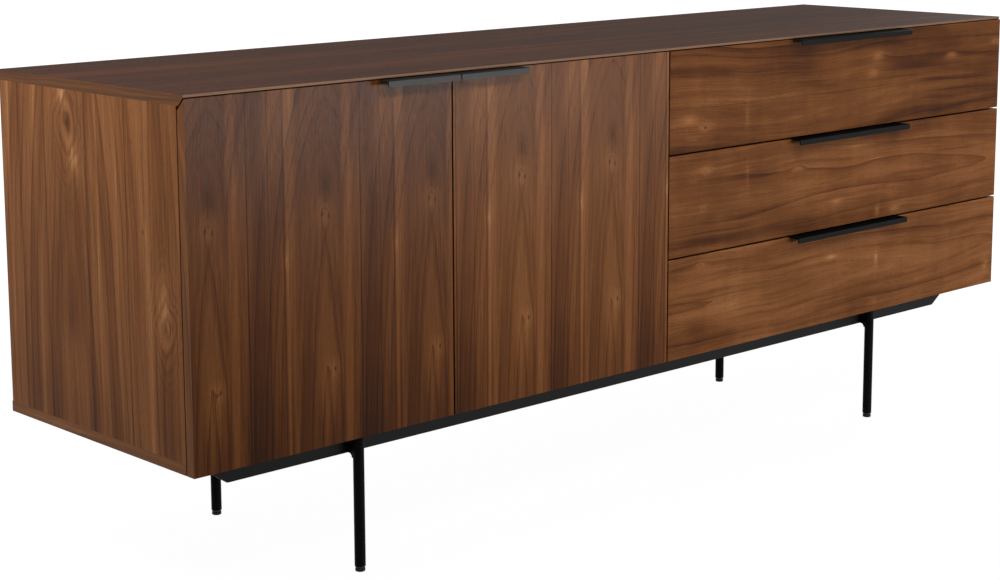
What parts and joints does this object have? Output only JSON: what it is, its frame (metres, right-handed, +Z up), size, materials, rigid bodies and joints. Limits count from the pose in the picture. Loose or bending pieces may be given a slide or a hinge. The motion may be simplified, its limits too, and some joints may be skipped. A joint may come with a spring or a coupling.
{
  "type": "office credenza",
  "caption": "Low walnut office credenza with hinged doors on the left, drawers on the right, folded edge pulls and a slim black steel base.",
  "frame": {"origin": "on the floor, under the middle of the outline of the closed credenza, handles included", "axes": "+X to the right along the front as seen by someone who faces it, +Y from the front to the back, +Z up"},
  "size_m": [1.8, 0.48, 0.71],
  "materials": {
    "walnut_veneer": "satin",
    "birch_plywood": "satin",
    "beech_dowel": "matte",
    "black_steel": "satin",
    "charcoal_metal": "satin",
    "zinc_steel": "satin",
    "black_plastic": "matte"
  },
  "bodies": {
    "case": {"back_panel": "walnut_veneer", "base_screws": "zinc_steel", "bottom_panel": "walnut_veneer", "case_dowels": "beech_dowel", "divider_panel": "walnut_veneer", "front_left_leg": "black_steel", "front_rail": "black_steel", "front_right_leg": "black_steel", "hinge_arms": "zinc_steel", "hinge_plates": "zinc_steel", "left_cross_rail": "black_steel", "left_side_panel": "walnut_veneer", "leg_bushes": "zinc_steel", "rear_left_leg": "black_steel", "rear_rail": "black_steel", "rear_right_leg": "black_steel", "right_cross_rail": "black_steel", "right_side_panel": "walnut_veneer", "runner_case_rails": "zinc_steel", "shelf": "walnut_veneer", "shelf_pins": "zinc_steel", "top_panel": "walnut_veneer"},
    "left_door": {"left_door": "walnut_veneer", "left_door_handle": "charcoal_metal", "left_hinge_cups": "zinc_steel"},
    "right_door": {"right_door": "walnut_veneer", "right_door_handle": "charcoal_metal", "right_hinge_cups": "zinc_steel"},
    "top_drawer_middle_rails": {"top_drawer_middle_rails": "zinc_steel"},
    "top_drawer": {"top_drawer_front": "walnut_veneer", "top_drawer_handle": "charcoal_metal", "top_drawer_left_side": "birch_plywood", "top_drawer_right_side": "birch_plywood", "top_drawer_back": "birch_plywood", "top_drawer_bottom": "birch_plywood", "top_drawer_box_rails": "zinc_steel"},
    "middle_drawer_middle_rails": {"middle_drawer_middle_rails": "zinc_steel"},
    "middle_drawer": {"middle_drawer_front": "walnut_veneer", "middle_drawer_handle": "charcoal_metal", "middle_drawer_left_side": "birch_plywood", "middle_drawer_right_side": "birch_plywood", "middle_drawer_back": "birch_plywood", "middle_drawer_bottom": "birch_plywood", "middle_drawer_box_rails": "zinc_steel"},
    "bottom_drawer_middle_rails": {"bottom_drawer_middle_rails": "zinc_steel"},
    "bottom_drawer": {"bottom_drawer_front": "walnut_veneer", "bottom_drawer_handle": "charcoal_metal", "bottom_drawer_left_side": "birch_plywood", "bottom_drawer_right_side": "birch_plywood", "bottom_drawer_back": "birch_plywood", "bottom_drawer_bottom": "birch_plywood", "bottom_drawer_box_rails": "zinc_steel"},
    "front_left_foot": {"front_left_foot": "black_plastic"},
    "front_right_foot": {"front_right_foot": "black_plastic"},
    "rear_left_foot": {"rear_left_foot": "black_plastic"},
    "rear_right_foot": {"rear_right_foot": "black_plastic"}
  },
  "joints": [
    {"name": "left_door_hinge", "type": "hinge", "parent": "case", "child": "left_door", "pos_m": [-0.8995, -0.218, 0.4585], "axis": [0, 0, -1], "range_deg": [0, 90]},
    {"name": "right_door_hinge", "type": "hinge", "parent": "case", "child": "right_door", "pos_m": [-0.002, -0.218, 0.4585], "axis": [0, 0, 1], "range_deg": [0, 90]},
    {"name": "top_drawer_slide", "type": "slide", "parent": "case", "child": "top_drawer", "axis": [0, -1, 0], "range_m": [0, 0.3]},
    {"name": "top_drawer_rail_slide", "type": "slide", "parent": "case", "child": "top_drawer_middle_rails", "axis": [0, -1, 0], "range_m": [0, 0.15]},
    {"name": "middle_drawer_slide", "type": "slide", "parent": "case", "child": "middle_drawer", "axis": [0, -1, 0], "range_m": [0, 0.3]},
    {"name": "middle_drawer_rail_slide", "type": "slide", "parent": "case", "child": "middle_drawer_middle_rails", "axis": [0, -1, 0], "range_m": [0, 0.15]},
    {"name": "bottom_drawer_slide", "type": "slide", "parent": "case", "child": "bottom_drawer", "axis": [0, -1, 0], "range_m": [0, 0.3]},
    {"name": "bottom_drawer_rail_slide", "type": "slide", "parent": "case", "child": "bottom_drawer_middle_rails", "axis": [0, -1, 0], "range_m": [0, 0.15]},
    {"name": "front_left_foot_turn", "type": "hinge", "parent": "case", "child": "front_left_foot", "pos_m": [-0.59, -0.172, 0], "axis": [0, 0, 1], "continuous": true},
    {"name": "front_right_foot_turn", "type": "hinge", "parent": "case", "child": "front_right_foot", "pos_m": [0.59, -0.172, 0], "axis": [0, 0, 1], "continuous": true},
    {"name": "rear_left_foot_turn", "type": "hinge", "parent": "case", "child": "rear_left_foot", "pos_m": [-0.59, 0.18, 0], "axis": [0, 0, 1], "continuous": true},
    {"name": "rear_right_foot_turn", "type": "hinge", "parent": "case", "child": "rear_right_foot", "pos_m": [0.59, 0.18, 0], "axis": [0, 0, 1], "continuous": true}
  ],
  "couplings": [
    {"joint": "top_drawer_rail_slide", "follows": "top_drawer_slide", "ratio": 0.5},
    {"joint": "middle_drawer_rail_slide", "follows": "middle_drawer_slide", "ratio": 0.5},
    {"joint": "bottom_drawer_rail_slide", "follows": "bottom_drawer_slide", "ratio": 0.5}
  ]
}
